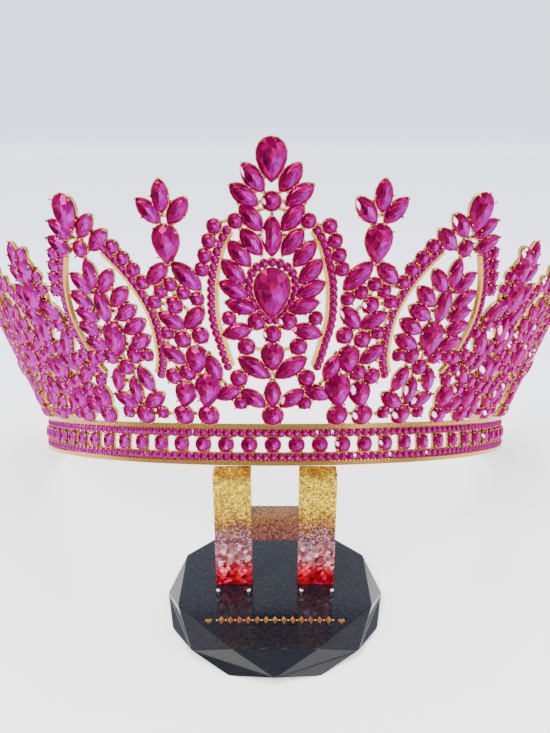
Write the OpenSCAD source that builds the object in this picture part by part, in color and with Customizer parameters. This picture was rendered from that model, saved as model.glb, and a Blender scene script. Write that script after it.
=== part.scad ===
/* [Stand] */
// Radius to the corners of the base's top face
base_top_r = 30.1; // [26:0.1:34]
// Radius to the corners of the base's widest line
base_waist_r = 32.6; // [31:0.1:36]
// Radius to the corners of the base's foot
base_foot_r = 32.2; // [30:0.1:35]
// Height of the base
base_h = 7.55; // [6:0.05:12]
// Height of the widest line above the table
base_waist_z = 2.25; // [1.5:0.05:4]
// Width of the H-shaped riser
riser_w = 35; // [30:0.5:42]
// Thickness of the riser
riser_t = 6; // [5:0.1:8]
// Height of the riser above the base
riser_h = 37.6; // [30:0.1:46]
// Width of each leg of the riser
leg_w = 10.7; // [8:0.1:13]
// Height of the riser's cross bar
bar_h = 8.1; // [6:0.1:12]
// Height of the cross bar above the base
bar_z = 16; // [10:0.1:20]
// How far the riser stands forward or back of the base's centre
riser_y = 0.3; // [-2:0.1:2]
// Diameter of each foot stud
stud_d = 1.3; // [1:0.1:2]
// Height of each foot stud
stud_h = 2; // [1.5:0.1:4]
// Inset of each stud from the side of its leg
stud_inset = 0.9; // [0.7:0.1:2]
// How far each stud stands clear of the riser's front
stud_front = 3.5; // [0.1:0.1:6]

/* [Band] */
// Outer radius of the crown's band
band_r = 89; // [80:0.5:96]
// Half of the angle that the open-backed band covers
arc_half = 105; // [95:1:115]
// Height of the band
band_h = 11.9; // [11:0.1:13]
// Thickness of the band's wall
band_t = 0.9; // [0.7:0.1:1.4]
// How far the band's two plain edges stand proud of its wall
lip_t = 0.9; // [0.5:0.1:1.4]
// Height of each plain edge
lip_h = 1.2; // [0.8:0.1:1.6]
// Width of the open slot between two band stones
slot_w = 2.2; // [1.4:0.1:2.6]
// Diameter of each round stone in the middle of the band
band_stone_d = 4.2; // [3.4:0.1:4.4]
// Distance that the band stones are apart, along the band
band_pitch = 6.8; // [6.2:0.01:7.6]
// Play of the crown on the riser's top
rest_gap = 0.05; // [0.02:0.01:0.2]
// How far the front of the band stands back on the riser
seat_y = 2.2; // [0:0.1:3]

/* [Crest] */
// Step of the drawing grid that stones and their places follow
step = 1; // [0.8:0.02:1.05]
// Outward lean of the crest from the band
flare = 26; // [15:1:32]
// Turn of the crest and the band's stones about the crown's axis
crest_turn = -0.4; // [-1:0.1:1]
// Thickness of the crest's back plate
plate_t = 0.9; // [0.7:0.1:1.4]
// Width of metal round each stone
rim_w = 0.45; // [0.3:0.05:0.6]
// Play of each stone in its seat
seat_gap = 0.12; // [0.1:0.01:0.2]
// Height of a stone as a share of its width
stone_rise = 0.36; // [0.28:0.01:0.45]

/* [Hidden] */

// Corners of the base
base_n = 8;
base_turn = 180 / base_n;
// Overlap that makes two solids of one casting into one
fuse = 0.05;
riser_top = base_h + riser_h;
riser_back = riser_y + riser_t / 2;

// Chord from the front of the band to its two ends, seen from the side
band_reach = band_r * (1 - cos(arc_half));
// Height of the band's front edge over the table, for a given lean
function front_z(a) = riser_top + rest_gap + tan(a) * (riser_back - seat_y);
// Lean at which the two ends just meet the table
function settle(a, n) = n == 0 ? a : settle(asin(front_z(a) / band_reach), n - 1);
lean = settle(asin(riser_top / band_reach), 6);

// Where the crest leaves the band: how far in from its top edge and its outer face
root_down = 0.4;
root_in = 0.3;
root_v = band_h - root_down;
root_r = band_r - root_in;
function crest_r(v) = root_r + (v - root_v) * sin(flare);
function crest_z(v) = root_v + (v - root_v) * cos(flare);
function arc_deg(len, r) = len / r * 180 / PI;

// Cuts of stone: name, length in steps, width in steps
CUTS = [
    ["heart", 13.4, 9.6],
    ["pear", 9.9, 6.8],
    ["bud", 7.8, 5.8],
    ["spear", 9.6, 4.6],
    ["leaf", 7.5, 3.5],
    ["drop", 5.6, 5.6],
    ["round", 4.3, 4.3],
    ["dot", 3.4, 3.4]
];
function cut_size(kind) = [for (c = CUTS) if (c[0] == kind) [c[1], c[2]]][0];

// Palmette at the front: cut, steps across, steps up, turn, both sides
PALM = [
    ["pear", 0, 72.7, 0, 0],
    ["leaf", 4.6, 68.5, 36, 1],
    ["leaf", 6.9, 64.3, 52, 1],
    ["round", 0, 62.7, 0, 0],
    ["leaf", 5.2, 58.7, 38, 1],
    ["spear", 0, 54, 0, 0],
    ["leaf", 5.2, 52.5, 37, 1],
    ["dot", 9.2, 57.9, 0, 1],
    ["leaf", 8.3, 49.5, 38, 1],
    ["leaf", 10, 44.8, 42, 1],
    ["leaf", 10, 40, 62, 1],
    ["heart", 0, 39, 0, 0],
    ["leaf", 8.2, 35.4, 74, 1],
    ["dot", 11.5, 32, 0, 1],
    ["round", 4.2, 31, 0, 1],
    ["round", 0, 27.4, 0, 0],
    ["leaf", 9.3, 28.2, 104, 1],
    ["round", 7, 23.8, 0, 1],
    ["bud", 0, 20.8, 0, 0],
    ["spear", 5, 17.6, 54, 1],
    ["round", 9.3, 14.4, 0, 1],
    ["leaf", 5.4, 8.1, 52, 1],
    ["leaf", 0, 9.6, 0, 0],
    ["leaf", 12.3, 9.9, 112, 1],
    ["dot", 9, 6.6, 0, 1],
    ["drop", 0, 2.6, 0, 0],
    ["dot", 14.6, 56.7, 0, 1],
    ["dot", 16.1, 53, 0, 1],
    ["dot", 17.3, 49.3, 0, 1],
    ["dot", 18.2, 45.6, 0, 1]
];
// Rows of small stones beside the front palmette: points across and up
PALM_ROW = [[11.4, 55.6], [14.3, 49.2], [16, 41], [16.1, 34], [14.4, 25.4], [12.2, 17.6]];

// Bars that tie the front palmette's settings: from and to, both sides
PALM_BARS = [
    [0, 8, 0, -1, 0],
    [0, 68.2, 2.8, 65.6, 1],
    [0, 62.7, 4.6, 60.6, 1],
    [0, 58, 0, 62, 0],
    [7.5, 34.6, 15.8, 36.5, 1],
    [8.6, 15, 12.4, 18, 1]
];

// Bloom between two palmettes
BLOOM = [
    ["leaf", 0, 65, -4, 0],
    ["leaf", 3.9, 61.5, 38, 0],
    ["leaf", -3.9, 61.1, -42, 0],
    ["pear", 0.5, 52.7, -4, 0],
    ["leaf", 4.6, 44.9, 128, 0],
    ["spear", -3.5, 43.9, 42, 0],
    ["dot", 1.4, 41.8, 0, 0],
    ["dot", 4.5, 40, 0, 0],
    ["dot", -1.9, 39.4, 0, 0],
    ["dot", 6.8, 37.1, 0, 0],
    ["dot", -5.4, 37.6, 0, 0],
    ["round", 1.2, 36, 0, 0],
    ["leaf", 2.7, 31.7, 58, 0],
    ["leaf", -3.8, 32.3, -44, 0],
    ["dot", 4.6, 28.1, 0, 0],
    ["round", 0.5, 26.1, 0, 0],
    ["round", -4.7, 27.2, 0, 0],
    ["leaf", 4, 21.7, 50, 0],
    ["bud", -2.7, 20.1, -6, 0],
    ["round", 0.6, 16.2, 0, 0],
    ["round", 5.1, 15, 0, 0],
    ["bud", 2.4, 9.4, -20, 0],
    ["pear", -4.3, 10.6, -12, 0],
    ["drop", 4.1, 2.6, 0, 0],
    ["drop", -3.4, 2.6, 0, 0]
];

// Bars that tie the bloom's settings
BLOOM_BARS = [
    [0.5, 49, 1.2, 36, 0],
    [0.2, 57.2, 0.2, 61.5, 0],
    [-3.5, 43.9, -5.4, 37.6, 0],
    [4.6, 44.9, 6.8, 37.1, 0],
    [2.6, 7, 4.1, 2.6, 0],
    [4.1, 2.6, 4.1, -1, 0],
    [-4, 6.5, -3.4, 2.6, 0],
    [-3.4, 2.6, -3.4, -1, 0]
];

// Palmette at the side, drawn about its own leaning axis
SIDE = [
    ["pear", 0, 63.3, 0, 0],
    ["leaf", 4.4, 59.3, 48, 1],
    ["leaf", 7, 55.2, 54, 1],
    ["round", 0, 53.3, 0, 0],
    ["dot", 10.7, 53, 0, 1],
    ["dot", 12.5, 49.7, 0, 1],
    ["dot", 14.3, 46.4, 0, 1],
    ["dot", 15.7, 42.7, 0, 1],
    ["leaf", 0, 46.2, 0, 0],
    ["leaf", 4.4, 43.8, 42, 1],
    ["leaf", 6.7, 39.1, 52, 1],
    ["spear", 0, 36.9, 0, 0],
    ["leaf", 6.8, 34.4, 68, 1],
    ["leaf", 8, 30.3, 66, 1],
    ["pear", 0, 26.8, 0, 0],
    ["leaf", 7.6, 25.6, 68, 1],
    ["round", 4.1, 21.5, 0, 1],
    ["dot", 8.3, 21.6, 0, 1],
    ["round", 0, 18, 0, 0],
    ["leaf", 4.8, 14.2, -20, 1],
    ["leaf", 0, 10.6, 0, 0],
    ["leaf", 5, 7.4, 60, 1],
    ["dot", 6, 3.4, 0, 1],
    ["drop", 0, 2.6, 0, 0]
];
// Rows of small stones beside the side palmette
SIDE_ROW = [[7.6, 52.6], [11, 48.4], [13.4, 42.4], [14.8, 35], [14.2, 26], [12.2, 19.8], [10.2, 15.4]];
// Bars that tie the side palmette's settings
SIDE_BARS = [
    [0, 5.4, 3.6, 6.6, 1],
    [6, 3.4, 4, 7.4, 1],
    [0, 8, 0, -1, 0],
    [0, 59, 0, 53.3, 0],
    [7, 53.4, 9.4, 53, 1],
    [7.4, 16, 10.4, 16, 1]
];
// Outward lean of the side palmette's axis, steps across for each step up
SIDE_LEAN = 0.1;
// Height at which that axis crosses its own place on the band
SIDE_CROSS = 53.7;

// Motifs on one side of the front: pattern, steps along the band, share of full size
MOTIFS = [
    ["bloom", 21.4, 1],
    ["side", 42.9, 1],
    ["bloom", 63.7, 0.84],
    ["side", 82.7, 0.86],
    ["bloom", 99.7, 0.72],
    ["side", 116.5, 0.74],
    ["bloom", 130.8, 0.62],
    ["side", 144.5, 0.6]
];

// Room in degrees: between the last motif's place and the band's end, on each side of
// that place for the motif itself, and between the crest's end and the band's
last_room = 8;
last_half = 6;
end_room = 3;
// Angle on the band of a motif's own place
function motif_deg(m) = arc_deg(m[1] * step, band_r);
MOTIFS_ON = [for (m = MOTIFS) if (motif_deg(m) < arc_half - last_room) m];
crest_half = min(arc_half - end_room, motif_deg(MOTIFS_ON[len(MOTIFS_ON) - 1]) + last_half);

function rows_of(name) = name == "palm" ? PALM : name == "bloom" ? BLOOM : SIDE;
function lean_of(name, up) = name == "side" ? (up - SIDE_CROSS) * SIDE_LEAN : 0;
// Height over the band's top edge at which a motif's grid starts, in steps
crest_lift = 0.4;
// Place on the crest, as an angle and a height, of a point in a motif's grid
function place(name, at, s, across, up) =
    let (v = band_h + (up * s + crest_lift) * step)
    [at + arc_deg((across + lean_of(name, up)) * s * step, crest_r(v)), v];
// One stone: cut, angle, height, turn, share of full size
function item(name, at, s, r, side) =
    let (p = place(name, at, s, r[1] * side, r[2]))
    [r[0], p[0], p[1], r[3] * side, s];
function sides(both) = both == 1 ? [1, -1] : [1];
function items_of(name, at, s) =
    [for (r = rows_of(name), side = sides(r[4])) item(name, at, s, r, side)];
function flip(list) = [for (t = list) [t[0], -t[1], t[2], -t[3], t[4]]];
function motif_items(k) = items_of(MOTIFS_ON[k][0], motif_deg(MOTIFS_ON[k]), MOTIFS_ON[k][2]);

FRONT_ITEMS = items_of("palm", 0, 1);
RIGHT_ITEMS = [for (k = [0:len(MOTIFS_ON) - 1], t = motif_items(k)) t];
ITEMS = concat(FRONT_ITEMS, RIGHT_ITEMS, flip(RIGHT_ITEMS));

// Rows of small stones, as lists of angles and heights
function row_line(name, at, s, side) =
    [for (p = name == "palm" ? PALM_ROW : SIDE_ROW) place(name, at, s, p[0] * side, p[1])];
RIGHT_LINES = concat(
    [row_line("palm", 0, 1, 1)],
    [for (m = MOTIFS_ON, side = sides(1)) if (m[0] == "side") row_line("side", motif_deg(m), m[2], side)]
);
LINES = concat(RIGHT_LINES, [for (l = RIGHT_LINES) [for (p = l) [-p[0], p[1]]]]);

// Bars, as pairs of an angle and a height
function bars_of(name) = name == "palm" ? PALM_BARS : name == "bloom" ? BLOOM_BARS : SIDE_BARS;
function motif_bars(name, at, s) = [
    for (b = bars_of(name), side = sides(b[4]))
        [place(name, at, s, b[0] * side, b[1]), place(name, at, s, b[2] * side, b[3])]
];
RIGHT_BARS = concat(
    motif_bars("palm", 0, 1),
    [for (m = MOTIFS_ON, b = motif_bars(m[0], motif_deg(m), m[2])) b]
);
BARS = concat(RIGHT_BARS, [for (b = RIGHT_BARS) [for (p = b) [-p[0], p[1]]]]);

// Flat staves that the crest is bent up from, each over about this many degrees
stave_deg = 6.9;
stave_n = max(4, round(crest_half / stave_deg));
stave_a = crest_half / (stave_n + 0.5);
function stave_of(phi) = round(phi / stave_a) * stave_a;
function in_stave(p, at) = [(p[0] - at) * PI / 180 * crest_r(p[1]), p[1] - root_v];

seed_row_w = 3.2 * step;
bar_w = 1.1 * step;
// Extra plate round the heart for its ring of small stones
halo_w = 1.9 * step;
// Gaps narrower than twice this are filled
closing = 1.5 * step;
// Overlap of two staves where they meet
stave_lap = 0.2;
hair = 0.01;
// Height that the staves are cut to, clear of every stone, and the longest reach of a
// stone or bar across a stave, in steps
stave_steps = 81;
reach_steps = 12;
crest_top = band_h + stave_steps * step;

// Sides of a pear's round end
pear_n = 7;
// Outline of a cut, round end or tip upward
function navette(l, w) = [for (a = [0:45:315]) [-w / 2 * sin(a) * abs(sin(a)), l / 2 * cos(a)]];
function pear(l, w) =
    let (r = w / 2, low = acos(r / (l - r)))
    let (around = [for (k = [0:pear_n]) low - 90 + 2 * k * (180 - low) / pear_n])
    concat([for (a = around) [r * cos(a), l / 2 - r + r * sin(a)]], [[0, -l / 2]]);
function disc(d) = [for (a = [22.5:45:337.5]) [d / 2 * cos(a), d / 2 * sin(a)]];
function is_navette(kind) = kind == "spear" || kind == "leaf";
function is_pear(kind) = kind == "heart" || kind == "pear" || kind == "bud";
function outline(kind, s) =
    let (c = cut_size(kind) * s * step)
    is_navette(kind) ? navette(c[0], c[1]) : is_pear(kind) ? pear(c[0], c[1]) : disc(c[0]);

// Corners of a plate as shares of its half width and half length
side_w = 0.95;
tip_l = 0.3;
head_w = 0.55;
hex_w = 1.05;
// Outline of the plate that carries a cut, plainer than the cut and a wall wider
function setting(kind, s) =
    let (rim = kind == "heart" ? rim_w + halo_w : rim_w, c = cut_size(kind) * s * step)
    let (l = c[0] / 2 + rim, w = c[1] / 2 + rim)
    is_navette(kind) ? [[0, l], [side_w * w, tip_l * l], [side_w * w, -tip_l * l], [0, -l],
        [-side_w * w, -tip_l * l], [-side_w * w, tip_l * l]]
    : is_pear(kind) ? [[head_w * w, l], [w, l - w], [0, -l], [-w, l - w], [-head_w * w, l]]
    : [for (a = [30:60:330]) [w * hex_w * sin(a), w * hex_w * cos(a)]];

// Widths of a stone's back and table as shares of its girdle, and the girdle's height
// as a share of the stone's
back_w = 0.82;
table_w = 0.56;
girdle_up = 0.4;
// A cut stone on its back: back, girdle and table, eight facets or more round it
module cut_stone(ring, rise) {
    n = len(ring);
    levels = [[back_w, 0], [1, girdle_up * rise], [table_w, rise]];
    points = [for (v = levels, p = ring) [p[0] * v[0], p[1] * v[0], v[1]]];
    flanks = [for (k = [0:1], i = [0:n - 1], half = [0, 1])
        let (j = (i + 1) % n, a = k * n)
        half == 0 ? [a + i, a + n + i, a + n + j] : [a + i, a + n + j, a + j]];
    back = [for (i = [1:n - 2]) [0, i, i + 1]];
    table = [for (i = [1:n - 2]) [2 * n, 2 * n + i + 1, 2 * n + i]];
    polyhedron(points, concat(flanks, back, table));
}

// Put a child on a stave of the crest, its front plane at z = 0
module on_stave(at) {
    rotate([0, 0, at + crest_turn])
        translate([0, -crest_r(root_v), crest_z(root_v)])
            rotate([90 + flare, 0, 0])
                children();
}

module crest_stone(t) {
    at = stave_of(t[1]);
    p = in_stave([t[1], t[2]], at);
    on_stave(at)
        translate([p[0], p[1], seat_gap])
            rotate([0, 0, -t[3]])
                cut_stone(outline(t[0], t[4]), cut_size(t[0])[1] * t[4] * step * stone_rise);
}

// Crown in its own frame, leaning back on the riser with its two ends on the table
module seated() {
    translate([0, seat_y, front_z(lean)])
        rotate([-lean, 0, 0])
            translate([0, band_r, 0])
                children();
}

module stave_shapes(at) {
    reach = stave_a / 2 + arc_deg(reach_steps * step, band_r);
    for (t = ITEMS)
        if (abs(t[1] - at) < reach) {
            p = in_stave([t[1], t[2]], at);
            translate(p) rotate(-t[3]) polygon(setting(t[0], t[4]));
        }
    for (l = LINES, k = [0:len(l) - 2])
        if (abs(l[k][0] - at) < reach) {
            strip(in_stave(l[k], at), in_stave(l[k + 1], at), seed_row_w);
            translate(in_stave(l[k + 1], at)) circle(d = seed_row_w, $fn = 6);
        }
    for (b = BARS)
        if (abs(b[0][0] - at) < reach) strip(in_stave(b[0], at), in_stave(b[1], at), bar_w);
}

module strip(p, q, w) {
    translate(p)
        rotate(atan2(q[1] - p[1], q[0] - p[0]))
            translate([0, -w / 2]) square([norm(q - p), w]);
}

module stave_field() {
    high = crest_top - root_v;
    low_w = crest_r(root_v) * tan(stave_a / 2) + stave_lap;
    high_w = crest_r(crest_top) * tan(stave_a / 2) + stave_lap;
    polygon([[-low_w, 0], [low_w, 0], [high_w, high], [-high_w, high]]);
}

module stave_plate(at) {
    offset(delta = hair)
        intersection() {
            union() {
                stave_shapes(at);
                offset(delta = -closing, chamfer = true) offset(delta = closing) stave_shapes(at);
            }
            stave_field();
        }
}

module crest_metal() {
    for (k = [-stave_n:stave_n])
        on_stave(k * stave_a)
            translate([0, 0, -plate_t])
                linear_extrude(plate_t) stave_plate(k * stave_a);
}

// Rounds in the middle of the band, spaced evenly on both sides of the front and kept
// this many degrees in from the band's ends
band_end = 1;
band_n = floor((arc_half - band_end) * PI / 180 * band_r / band_pitch - 0.5);
band_deg = arc_deg(band_pitch, band_r);
band_mid = band_h / 2;
// Length of a slot past each side of the stones
slot_past = 0.45;
slot_h = band_stone_d + 2 * slot_past;
wall_r = band_r - lip_t;

module arc_ring(inner, outer, low, high) {
    rotate([0, 0, -90 - arc_half])
        rotate_extrude(angle = 2 * arc_half, $fn = 96)
            translate([inner, low]) square([outer - inner, high - low]);
}

module band_metal() {
    difference() {
        arc_ring(wall_r - band_t, wall_r, 0, band_h);
        for (k = [-band_n:band_n - 1])
            rotate([0, 0, (k + 0.5) * band_deg + crest_turn])
                translate([-slot_w / 2, -band_r, band_mid - slot_h / 2])
                    cube([slot_w, 3 * band_t + lip_t, slot_h]);
    }
    arc_ring(wall_r - band_t, band_r, 0, lip_h);
    arc_ring(wall_r - band_t, band_r, band_h - lip_h, band_h);
}

module frame() {
    color("gold") seated() {
        band_metal();
        crest_metal();
    }
}

module band_stones() {
    color("mediumvioletred") seated()
        for (k = [-band_n:band_n])
            rotate([0, 0, k * band_deg + crest_turn])
                translate([0, -wall_r - seat_gap, band_mid])
                    rotate([90, 0, 0])
                        cut_stone(disc(band_stone_d), band_stone_d * stone_rise);
}

// Main stones: the n-th stone of a cut in a motif, counted outward from the front
function motif_or_front(k) = k < 0 ? FRONT_ITEMS : motif_items(k);
module main_stone(k, kind, n, side) {
    t = [for (t = motif_or_front(k)) if (t[0] == kind) t][n];
    color("mediumvioletred") seated()
        crest_stone([t[0], t[1] * side, t[2], t[3] * side, t[4]]);
}

// Stones that stay in a field: leaves and buds, or rounds and dots
function is_leaf(kind) = kind == "leaf" || kind == "bud";
function is_round(kind) = kind == "round" || kind == "dot";
NEAR_RIGHT = concat(motif_items(0), motif_items(1));
NEAR_ITEMS = concat(FRONT_ITEMS, NEAR_RIGHT, flip(NEAR_RIGHT));
FRONT_BUD = [for (t = FRONT_ITEMS) if (t[0] == "bud") t][0];

module crest_leaves() {
    color("mediumvioletred") seated()
        for (t = NEAR_ITEMS)
            if (is_leaf(t[0]) && t != FRONT_BUD) crest_stone(t);
}

module crest_rounds() {
    color("mediumvioletred") seated()
        for (t = NEAR_ITEMS)
            if (is_round(t[0])) crest_stone(t);
}

module front_heart() { main_stone(-1, "heart", 0, 1); }
module front_pear() { main_stone(-1, "pear", 0, 1); }
module front_bud() { main_stone(-1, "bud", 0, 1); }
module front_spear() { main_stone(-1, "spear", 0, 1); }
module front_spear_right() { main_stone(-1, "spear", 1, 1); }
module front_spear_left() { main_stone(-1, "spear", 1, -1); }
module front_drop() { main_stone(-1, "drop", 0, 1); }
module bloom1_right_pear() { main_stone(0, "pear", 0, 1); }
module bloom1_right_low_pear() { main_stone(0, "pear", 1, 1); }
module bloom1_right_spear() { main_stone(0, "spear", 0, 1); }
module bloom1_right_outer_drop() { main_stone(0, "drop", 0, 1); }
module bloom1_right_inner_drop() { main_stone(0, "drop", 1, 1); }
module side1_right_pear() { main_stone(1, "pear", 0, 1); }
module side1_right_middle() { main_stone(1, "pear", 1, 1); }
module side1_right_spear() { main_stone(1, "spear", 0, 1); }
module side1_right_drop() { main_stone(1, "drop", 0, 1); }
module bloom2_right_pear() { main_stone(2, "pear", 0, 1); }
module bloom2_right_low_pear() { main_stone(2, "pear", 1, 1); }
module bloom2_right_spear() { main_stone(2, "spear", 0, 1); }
module side2_right_pear() { main_stone(3, "pear", 0, 1); }
module side2_right_middle() { main_stone(3, "pear", 1, 1); }
module side2_right_spear() { main_stone(3, "spear", 0, 1); }
module bloom3_right_pear() { main_stone(4, "pear", 0, 1); }
module bloom1_left_pear() { main_stone(0, "pear", 0, -1); }
module bloom1_left_low_pear() { main_stone(0, "pear", 1, -1); }
module bloom1_left_spear() { main_stone(0, "spear", 0, -1); }
module bloom1_left_outer_drop() { main_stone(0, "drop", 0, -1); }
module bloom1_left_inner_drop() { main_stone(0, "drop", 1, -1); }
module side1_left_pear() { main_stone(1, "pear", 0, -1); }
module side1_left_middle() { main_stone(1, "pear", 1, -1); }
module side1_left_spear() { main_stone(1, "spear", 0, -1); }
module side1_left_drop() { main_stone(1, "drop", 0, -1); }
module bloom2_left_pear() { main_stone(2, "pear", 0, -1); }
module bloom2_left_low_pear() { main_stone(2, "pear", 1, -1); }
module bloom2_left_spear() { main_stone(2, "spear", 0, -1); }
module side2_left_pear() { main_stone(3, "pear", 0, -1); }
module side2_left_middle() { main_stone(3, "pear", 1, -1); }
module side2_left_spear() { main_stone(3, "spear", 0, -1); }
module bloom3_left_pear() { main_stone(4, "pear", 0, -1); }

function corner_ring(r, turn, z) =
    [for (k = [0:base_n - 1]) let (a = turn + 2 * k * base_turn) [r * cos(a), r * sin(a), z]];

// Low faceted octagon: the top and the foot are turned half a side from the waist
module stand_base() {
    n = base_n;
    points = concat(
        corner_ring(base_top_r, base_turn, base_h),
        corner_ring(base_waist_r, 0, base_waist_z),
        corner_ring(base_foot_r, base_turn, 0)
    );
    upper = [for (i = [0:n - 1], half = [0, 1])
        let (j = (i + 1) % n)
        half == 0 ? [i, n + j, n + i] : [i, j, n + j]];
    lower = [for (i = [0:n - 1], half = [0, 1])
        let (j = (i + 1) % n)
        half == 0 ? [n + i, n + j, 2 * n + i] : [n + j, 2 * n + j, 2 * n + i]];
    top = [[for (i = [n - 1:-1:0]) i]];
    foot = [[for (i = [0:n - 1]) 2 * n + i]];
    color("black") polyhedron(points, concat(upper, lower, top, foot));
}

module riser_box(x, z, w, h) {
    translate([x, riser_y - riser_t / 2, base_h + z]) cube([w, riser_t, h]);
}

module stand_riser() {
    color("orchid") union() {
        riser_box(-riser_w / 2, 0, leg_w, riser_h);
        riser_box(riser_w / 2 - leg_w, 0, leg_w, riser_h);
        riser_box(-riser_w / 2 + leg_w - fuse, bar_z, riser_w - 2 * leg_w + 2 * fuse, bar_h);
    }
}

module stud(x) {
    color("silver") translate([x, riser_back - riser_t - stud_front - stud_d / 2, base_h])
        cylinder(d = stud_d, h = stud_h, $fn = 48);
}
stud_outer = riser_w / 2 - stud_inset;
stud_inner = riser_w / 2 - leg_w + stud_inset;
module stud_left_outer() { stud(-stud_outer); }
module stud_left_inner() { stud(-stud_inner); }
module stud_right_inner() { stud(stud_inner); }
module stud_right_outer() { stud(stud_outer); }

stand_base();
stand_riser();
stud_left_outer();
stud_left_inner();
stud_right_inner();
stud_right_outer();
frame();
band_stones();
crest_leaves();
crest_rounds();
front_heart();
front_pear();
front_bud();
front_spear();
front_spear_right();
front_spear_left();
front_drop();
bloom1_right_pear();
bloom1_right_low_pear();
bloom1_right_spear();
bloom1_right_outer_drop();
bloom1_right_inner_drop();
side1_right_pear();
side1_right_middle();
side1_right_spear();
side1_right_drop();
bloom2_right_pear();
bloom2_right_low_pear();
bloom2_right_spear();
side2_right_pear();
side2_right_middle();
side2_right_spear();
bloom3_right_pear();
bloom1_left_pear();
bloom1_left_low_pear();
bloom1_left_spear();
bloom1_left_outer_drop();
bloom1_left_inner_drop();
side1_left_pear();
side1_left_middle();
side1_left_spear();
side1_left_drop();
bloom2_left_pear();
bloom2_left_low_pear();
bloom2_left_spear();
side2_left_pear();
side2_left_middle();
side2_left_spear();
bloom3_left_pear();
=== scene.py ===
"""Looks of a pageant crown on its display stand.

Sizes are in millimetres until a mesh is made. The room, lamps and camera are in metres.
"""

import math
import random

import bmesh
import bpy
import numpy as np
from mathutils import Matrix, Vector


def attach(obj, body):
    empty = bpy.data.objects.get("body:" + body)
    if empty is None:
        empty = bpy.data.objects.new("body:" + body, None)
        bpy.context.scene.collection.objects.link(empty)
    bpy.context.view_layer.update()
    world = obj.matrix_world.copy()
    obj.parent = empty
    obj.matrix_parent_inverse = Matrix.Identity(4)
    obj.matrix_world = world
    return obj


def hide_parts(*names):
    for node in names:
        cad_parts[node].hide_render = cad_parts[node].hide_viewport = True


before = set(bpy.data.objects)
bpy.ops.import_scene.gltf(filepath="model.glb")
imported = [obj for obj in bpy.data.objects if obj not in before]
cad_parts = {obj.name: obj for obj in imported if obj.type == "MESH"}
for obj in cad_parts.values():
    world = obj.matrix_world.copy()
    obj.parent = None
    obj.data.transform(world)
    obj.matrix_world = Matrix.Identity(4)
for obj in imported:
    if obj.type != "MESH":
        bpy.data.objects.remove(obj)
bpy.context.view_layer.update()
random.seed(7)

MM = 0.001
TINY = 1e-6

# Band: outer radius, half its arc in degrees, height, and the wall behind its two rims
BAND_R = 89
ARC_HALF = 105
BAND_H = 11.9
WALL_R = 88.1
WALL_T = 0.9
LOW_RIM_H = 1.15
HIGH_RIM_H = 1.3
BAND_STEPS = 210

# Slots of the band, the posts between them, and its rows of small stones
SLOT = (3.75, 8.15)
POST_W = 3.7
POST_STEPS = 3
BAND_PITCH = 6.8
SEED_PITCH = 2.27
BAND_ROWS = (2.4, 9.3)
# Angle kept free of small stones at each end, in radians
BAND_END = 0.02
# Beads beside a small stone: share of a pitch along, distance toward the nearer rim
BAND_BEADS = ((0.5, 1.12), (0, 1.22), (0.5, -0.85))
# Prongs of a middle stone: distance from its axis, height on it
MIDDLE_PRONG_R = 2.25
MIDDLE_PRONG_UP = 0.9

# Crest: height and radius of its root, flare, turn against the band, lift of its motifs
ROOT_V = 11.5
ROOT_R = 88.7
FLARE = math.radians(26)
CREST_TURN = math.radians(-0.4)
CREST_LIFT = 0.4

# Stand, and where the crown's front edge rests on it
BASE_TOP = 7.55
RISER_TOP = 45.15
RISER_FRONT = -2.7
RISER_BACK = 3.3
REST_GAP = 0.05
SEAT_Y = 2.2
# Gap under what stands on the base
FOOT_GAP = 0.01

# Cuts of stone: length, width, points round the girdle
CUTS = {
    "heart": (13.8, 10.0, 24),
    "pear": (10.7, 7.7, 20),
    "bud": (8.4, 6.6, 16),
    "spear": (10.4, 5.3, 16),
    "leaf": (8.5, 4.7, 16),
    "drop": (6.2, 6.2, 16),
    "round": (4.9, 4.9, 16),
    "dot": (3.9, 3.9, 12),
    "middle": (4.55, 4.55, 16),
    "seed": (2.4, 2.4, 8),
}
ROUND_CUTS = ("drop", "round", "dot", "middle", "seed")
TIPPED_CUTS = ("spear", "leaf")
SMALL_CUTS = ("seed", "dot")
# How full a tipped cut's sides are, and how wide and how pointed a pear's outline is
TIP_BOW = 0.4
PEAR_WIDE = 1.17
PEAR_TAPER = 0.62
# Share of its length that a tipped cut's keel keeps
KEEL = 0.4

# Rise of a stone as a share of its width
RISE = 0.34
SMALL_RISE = 0.42
# Rings of a stone from its foot up, then down to the keel that is seen through the table:
# share of the outline, share of the rise
FOOT_RING = 0.97
GIRDLE_UP = 0.42
BEZEL_RING = (0.82, 0.80)
TABLE_RING = (0.58, 1.0)
INNER_RING = (0.30, 0.90)
KEEL_RING = (0.02, 0.80)

# Tone of each ring of facets: level, gain on the side that the light comes out of, spread
TONES = {
    "bezel": (0.41, 0.20, 0.13),
    "star": (0.45, 0.28, 0.15),
    "inner": (0.49, 0.42, 0.17),
    "heart": (0.53, 0.44, 0.17),
}
# Tone under the girdle, highest tone of a plain facet, and the side of the lit ones
GIRDLE_TONE = 0.25
TONE_TOP = 0.88
LOBE = math.radians(-30)
# Share of stones with a sparkle (a painted highlight of white facets), the side it lies on, and
# the cosine that it keeps to
PAINTED_GLINT_SHARE = 0.28
SEED_PAINTED_GLINT_SHARE = 0.08
PAINTED_GLINT_SIDE = math.radians(150)
PAINTED_GLINT_NEAR = 0.93
# Gain in tone of the stones toward the crown's ends, where the light is more violet
VIOLET = 0.75
VIOLET_END = math.radians(55)
VIOLET_BEND = 1.5

# Collar of a setting: most points, depth, wall outside the stone, lip and foot inside its
# outline, brim, top as a share of the stone's width, and draft of the brim
CUP_POINTS = 16
CUP_DEEP = 0.9
CUP_WALL = 0.25
CUP_LIP = -0.06
CUP_FOOT = -0.3
CUP_BRIM = 0.25
CUP_TOP = 0.108
CUP_DRAFT = 0.99

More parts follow.
